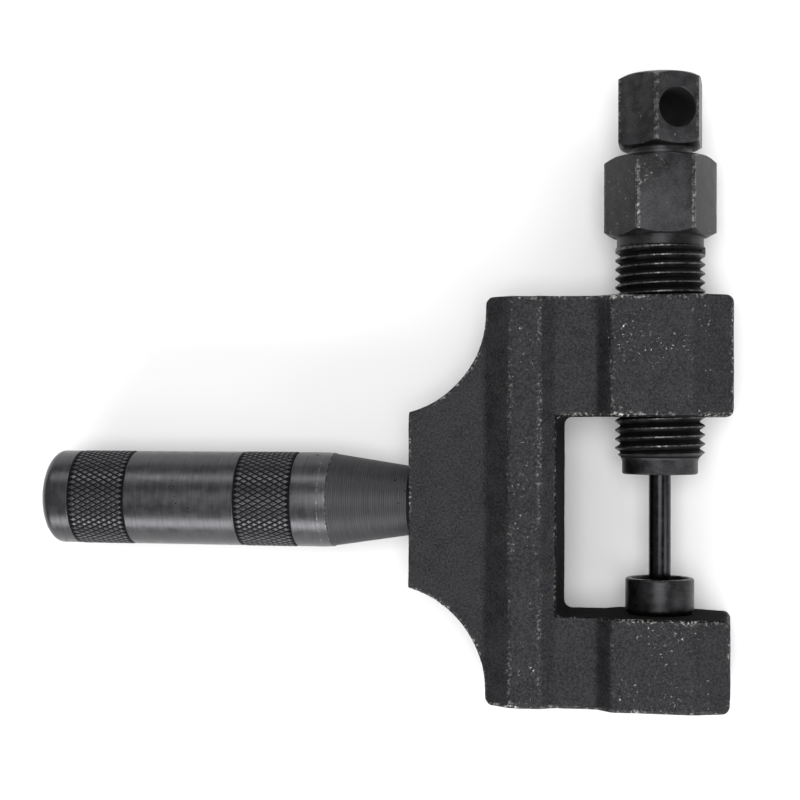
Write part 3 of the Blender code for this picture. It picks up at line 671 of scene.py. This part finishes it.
def painted_knurl_shade_and_marks(material, place):
    """Painted shade in the knurl's grooves, pits where the bar has been knocked, and the taper's turned
    rings.
    """
    radius = from_axis(material, place, HANDLE_AXIS, (0, 1, 1))
    along = add(material, "ShaderNodeSeparateXYZ", {0: place}, out="X")
    grooves = add(material, "ShaderNodeMapRange", {"Value": radius, "From Min": HANDLE_R,
                                                   "From Max": HANDLE_R - 0.12 * MM})
    on_knurl = [within(material, along, HANDLE_LOW.x + first, HANDLE_LOW.x + last, 0.1 * MM)
                for first, last in KNURL_BANDS]
    on_knurl = add(material, "ShaderNodeMath", {0: on_knurl[0], 1: on_knurl[1]}, operation="MAXIMUM")
    grooves = add(material, "ShaderNodeMath", {0: grooves, 1: on_knurl}, operation="MULTIPLY")
    patches = specks(material, place, 9 * MM, 0.54, 0.58, 7 * MM)
    pits = specks(material, place, 1.1 * MM, 0.62, 0.66)
    pits = add(material, "ShaderNodeMath", {0: pits, 1: patches}, operation="MULTIPLY")
    dark = add(material, "ShaderNodeMath", {0: grooves, 1: pits}, operation="MAXIMUM")
    rings = add(material, "ShaderNodeTexWave", {"Vector": place, "Scale": 0.314 / TAPER_RINGS,
                                                "Distortion": 1.5}, out="Fac", bands_direction="X")
    rings = add(material, "ShaderNodeMapRange", {"Value": rings, "To Min": 0.3, "To Max": 0.5})
    on_taper = within(material, along, HANDLE_SHOULDER_X - HANDLE_TAPER + TAPER_LAND, HANDLE_SHOULDER_X,
                      0.2 * MM)
    rings = add(material, "ShaderNodeMath", {0: rings, 1: on_taper}, operation="MULTIPLY")
    return add(material, "ShaderNodeMath", {0: dark, 1: rings}, operation="MAXIMUM")


def handle_highlights_and_wear(material, place):
    """Painted highlights with wear, broken into patches, on the two fine edges where the taper starts and on
    the tops of the knurl.
    """
    along = add(material, "ShaderNodeSeparateXYZ", {0: place}, out="X")
    radius = from_axis(material, place, HANDLE_AXIS, (0, 1, 1))
    taper = HANDLE_SHOULDER_X - HANDLE_TAPER
    edges = [within(material, along, taper - back - 0.1 * MM, taper - back + 0.1 * MM, 0.12 * MM)
             for back in (0, -TAPER_LAND)]
    edges = add(material, "ShaderNodeMath", {0: edges[0], 1: edges[1]}, operation="MAXIMUM")
    tops = within(material, radius, HANDLE_R + 0.12 * MM, HANDLE_R + MM, 0.03 * MM)
    wear_and_highlights = add(material, "ShaderNodeMath", {0: edges, 1: tops}, operation="MAXIMUM")
    return add(material, "ShaderNodeMath", {0: wear_and_highlights, 1: specks(material, place, 0.8 * MM, 0.45, 0.7)},
               operation="MULTIPLY")


def bar_hole_shade(material, place):
    """Painted shade on the wall of the hole through the drive screw's head."""
    offset = add(material, "ShaderNodeVectorMath", {0: place, 1: (SCREW_X, BAR_HOLE_Y, AXIS_Z)},
                 operation="SUBTRACT")
    offset = add(material, "ShaderNodeVectorMath", {0: offset, 1: BAR_HOLE_ALONG},
                 operation="CROSS_PRODUCT")
    away = add(material, "ShaderNodeVectorMath", {0: offset}, out="Value", operation="LENGTH")
    return within(material, away, 0, BAR_HOLE_R + 0.1 * MM, 0.05 * MM)


def screw_masks(thread_low, thread_high, root_r, major_r, corner_r, hole=None):
    """The painted shade of a screw (in its thread's roots, which oil darkens too, and on its hole's wall) and
    its bright ones.

    What has rubbed bright is the thread's crests, the hexagon's corners and patches of its faces.
    """

    def on_thread(material, place):
        along = add(material, "ShaderNodeSeparateXYZ", {0: place}, out="Y")
        return within(material, along, thread_low, thread_high, 0.2 * MM)

    def painted_shade_and_marks(material, place):
        radius = from_axis(material, place, SCREW_AXIS, (1, 0, 1))
        deep = add(material, "ShaderNodeMapRange", {"Value": radius, "From Min": (major_r + root_r) / 2,
                                                    "From Max": root_r})
        deep = add(material, "ShaderNodeMath", {0: deep, 1: on_thread(material, place)},
                   operation="MULTIPLY")
        if hole:
            deep = add(material, "ShaderNodeMath", {0: deep, 1: hole(material, place)}, operation="MAXIMUM")
        return deep

    def wear_and_highlights(material, place):
        radius = from_axis(material, place, SCREW_AXIS, (1, 0, 1))
        crests = within(material, radius, major_r - 0.06 * MM, major_r + 0.1 * MM, 0.03 * MM)
        crests = add(material, "ShaderNodeMath", {0: crests, 1: on_thread(material, place)},
                     operation="MULTIPLY")
        crests = add(material, "ShaderNodeMath", {0: crests, 1: specks(material, place, 0.9 * MM, 0.4, 0.75)},
                     operation="MULTIPLY")
        corners = within(material, radius, corner_r - 0.22 * MM, corner_r + MM, 0.15 * MM)
        corners = add(material, "ShaderNodeMath", {0: corners, 1: specks(material, place, MM, 0.44, 0.7)},
                      operation="MULTIPLY")
        patches = specks(material, place, 9 * MM, 0.52, 0.6, 2 * MM)
        scuffs = specks(material, place, 0.7 * MM, 0.6, 0.68, 5 * MM)
        scuffs = add(material, "ShaderNodeMath", {0: scuffs, 1: patches}, operation="MULTIPLY")
        on_hexagon = within(material, radius, major_r + 0.3 * MM, corner_r + MM, 0.1 * MM)
        scuffs = add(material, "ShaderNodeMath", {0: scuffs, 1: on_hexagon}, operation="MULTIPLY")
        lightened = add(material, "ShaderNodeMath", {0: crests, 1: corners}, operation="MAXIMUM")
        return add(material, "ShaderNodeMath", {0: lightened, 1: scuffs}, operation="MAXIMUM")

    return {"painted_shade_and_marks": painted_shade_and_marks, "wear_and_highlights": wear_and_highlights}


def anvil_rim_highlight_and_wear(material, place):
    """The cup's rim, lightened as a painted highlight and as wear from the chain plates."""
    along = add(material, "ShaderNodeSeparateXYZ", {0: place}, out="Y")
    rim = within(material, along, ANVIL_HIGH.y - 0.12 * MM, ANVIL_HIGH.y + MM, 0.2 * MM)
    return add(material, "ShaderNodeMath", {0: rim, 1: specks(material, place, 1.4 * MM, 0.45, 0.7)},
               operation="MULTIPLY")


# Drop-forged steel, shot blasted and blackened: dry and gritty, with bright flecks where it has rubbed.
# Blasting leaves pits of about 0.2 mm, too fine to show, so the grit is drawn twice as coarse.
# The throat's walls are darkened to the first colour as painted shade.
FORGED_BLACK = blackened(
    "blasted_black_forging", colours=("1B1B1C", "1F1F21", "3A3A3C"), metallic=0.7, roughness=(0.5, 0.64),
    grit=0.45 * MM, haze=4 * MM, relief=0.1 * MM, grit_share=0.8, painted_shade_and_marks=throat_painted_shade,
    wear_and_highlights=forging_rubbed, edge_tint=0.35)
# A turned bar, cold blackened: satin, with fine rings round it, painted shade in the knurl grooves, a few
# pits, and painted highlights with wear on the taper's edges and knurl tops.
# The turning tool's rings are about 0.1 mm apart, too fine to show, so they are drawn a little coarser.
TURNED_BLACK = blackened(
    "cold_blackened_turned_bar", colours=("1E1E20", "414143", "515153"), metallic=0.95,
    roughness=(0.28, 0.4), grit=MM, haze=2.2 * MM, relief=0.006 * MM, grit_share=0.75,
    stretch=(1 / 0.16, 1 / 7, 1 / 7), painted_shade_and_marks=painted_knurl_shade_and_marks, wear_and_highlights=handle_highlights_and_wear, wear_and_highlight_colour="7C7A76")
# Machined steel, black oxide and oiled: near black in the thread's roots from oil and painted shade, with
# broken bright crests.
# The oxide's own grain is under 0.1 mm, too fine to show, so it is drawn at a third of a millimetre.
GUIDE_BLACK = blackened(
    "oiled_black_guide_steel", colours=("0C0C0D", "1F1F20", "38383A"), metallic=0.85,
    roughness=(0.36, 0.52), grit=0.35 * MM, haze=2.6 * MM, relief=0.012 * MM, wear_and_highlight_colour="7C7A76",
    **screw_masks(GUIDE_NOSE_HIGH, GUIDE_THREAD_HIGH, GUIDE_ROOT_R, GUIDE_MAJOR_R, GUIDE_FLATS / sqrt(3)))
# The same finish on the drive screw, newer and greyer, with painted shade on its bar hole's wall.
DRIVE_BLACK = blackened(
    "oiled_black_drive_steel", colours=("242426", "303031", "464648"), metallic=0.85,
    roughness=(0.34, 0.48), grit=0.3 * MM, haze=2.6 * MM, relief=0.01 * MM, wear_and_highlight_colour="8A8884",
    **screw_masks(DRIVE_DOG_HIGH, DRIVE_THREAD_HIGH, DRIVE_ROOT_R, DRIVE_MAJOR_R, DRIVE_FLATS / sqrt(3),
                  hole=bar_hole_shade))
# Hardened steel, oil blackened: satin, with a rim lightened as painted highlight and wear, and turning rings
# drawn coarse enough to show.
ANVIL_BLACK = blackened(
    "oil_blackened_anvil", colours=("121213", "232324", "353537"), metallic=0.9, roughness=(0.3, 0.44),
    grit=MM, haze=1.6 * MM, relief=0.006 * MM, stretch=(1 / 4, 1 / 0.18, 1 / 4), wear_and_highlights=anvil_rim_highlight_and_wear,
    wear_and_highlight_colour="7C7A76")
# A hardened pin, ground smooth and left dark from its heat treatment: a soft sheen with faint rings,
# coarser than a grinding wheel leaves them so that they can show.
PIN_DARK = blackened(
    "ground_dark_pin", colours=("121213", "202022", "2C2C2E"), metallic=0.95, roughness=(0.18, 0.3),
    grit=MM, haze=1.8 * MM, relief=0.004 * MM, stretch=(1 / 3, 1 / 0.15, 1 / 3))
# Drawn music wire, oiled: bright grey, with fine drawing marks.
SPRING_WIRE = blackened(
    "drawn_spring_wire", colours=("323233", "67676A", "848486"), metallic=1.0, roughness=(0.22, 0.36),
    grit=0.9 * MM, haze=3 * MM, relief=0.004 * MM)


# ---------------------------------------------------------------- stage

FLOOR_SIZE = 4
# Each softbox's name, place, width and depth in metres, and power in watts.
SOFTBOXES = (
    ("key", (0.05, -0.85, 0.42), (1.7, 0.35), 12.5),
    ("far", (0.0, 0.75, 0.6), (1.5, 0.16), 4),
    ("overhead", (0.12, 0.0, 1.25), (0.7, 0.7), 9),
    ("side", (0.9, -0.3, 0.4), (0.3, 0.5), 2.2),
)
LIT_SPOT = (0, -0.02, 0.01)
ROOM_LIGHT = 0.32
# The camera's lens in millimetres, its place, and its turns in degrees.
LENS = 76.5
NEAREST_SEEN = 0.02
CAMERA_PLACE = Vector((SCREW_X + 16.69 * MM, MIDDLE_Y + 16.74 * MM, AXIS_Z + 384.78 * MM))
TURN_Y, TURN_X, TURN_Z = 11.18, 0.86, 0.23


def make_stage():
    """A wide sheet of pale matt paper under the tool."""
    bpy.ops.object.select_all(action="DESELECT")
    bpy.ops.mesh.primitive_plane_add(size=FLOOR_SIZE, location=(0, 0, FRAME_LOW.z))
    floor = bpy.context.object
    floor.name = "pale_floor"
    paper = bpy.data.materials.new("pale_paper")
    paper.use_nodes = True
    shader = paper.node_tree.nodes["Principled BSDF"]
    shader.inputs["Base Color"].default_value = linear("F6F6F6")
    shader.inputs["Roughness"].default_value = 0.9
    shader.inputs["Specular IOR Level"].default_value = 0.1
    floor.data.materials.append(paper)


def softbox(name, place, size, power):
    """A rectangular lamp turned towards the tool."""
    light = bpy.data.lights.new(name, "AREA")
    light.shape = "RECTANGLE"
    light.size, light.size_y = size
    light.energy = power
    lamp = bpy.data.objects.new(name, light)
    bpy.context.scene.collection.objects.link(lamp)
    lamp.location = place
    lamp.rotation_euler = (Vector(LIT_SPOT) - Vector(place)).to_track_quat("-Z", "Y").to_euler()


def make_lights():
    """A dim white room with a long low key in front, a softer box behind, one overhead and one aside."""
    world = bpy.data.worlds.new("studio")
    bpy.context.scene.world = world
    world.use_nodes = True
    world.node_tree.nodes["Background"].inputs["Color"].default_value = (1, 1, 1, 1)
    world.node_tree.nodes["Background"].inputs["Strength"].default_value = ROOM_LIGHT
    for box in SOFTBOXES:
        softbox(*box)
    bpy.context.scene.view_settings.view_transform = "Standard"


def make_camera():
    """A long lens looking almost straight down, from a little to the right of the screws."""
    camera = bpy.data.objects.new("camera", bpy.data.cameras.new("camera"))
    bpy.context.scene.collection.objects.link(camera)
    camera.data.lens = LENS
    camera.data.clip_start = NEAREST_SEEN
    turn = (Matrix.Rotation(radians(TURN_Y), 4, "Y") @ Matrix.Rotation(radians(TURN_X), 4, "X")
            @ Matrix.Rotation(radians(TURN_Z), 4, "Z"))
    camera.matrix_world = Matrix.Translation(CAMERA_PLACE) @ turn
    bpy.context.scene.camera = camera


make_camera()
make_lights()
make_stage()

PIECES = (
    (make_frame, "frame", "frame", "forged_frame", FORGED_BLACK),
    (make_handle, "handle", "frame", "turned_handle", TURNED_BLACK),
    (make_anvil, "anvil", "frame", "anvil_steel", ANVIL_BLACK),
    (make_guide_screw, "guide_screw", "guide_screw", "guide_screw_steel", GUIDE_BLACK),
    (make_drive_screw, "drive_screw", "drive_screw", "drive_screw_steel", DRIVE_BLACK),
    (make_push_pin, "push_pin", "pin_feed", "pin_steel", PIN_DARK),
    (make_pin_spring, "pin_spring", "guide_feed", "spring_steel", SPRING_WIRE),
)
for make, node, body, slot, finish in PIECES:
    piece = make()
    piece.data.materials.clear()
    piece.data.materials.append(finish)
    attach(piece, body)
    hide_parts(node)
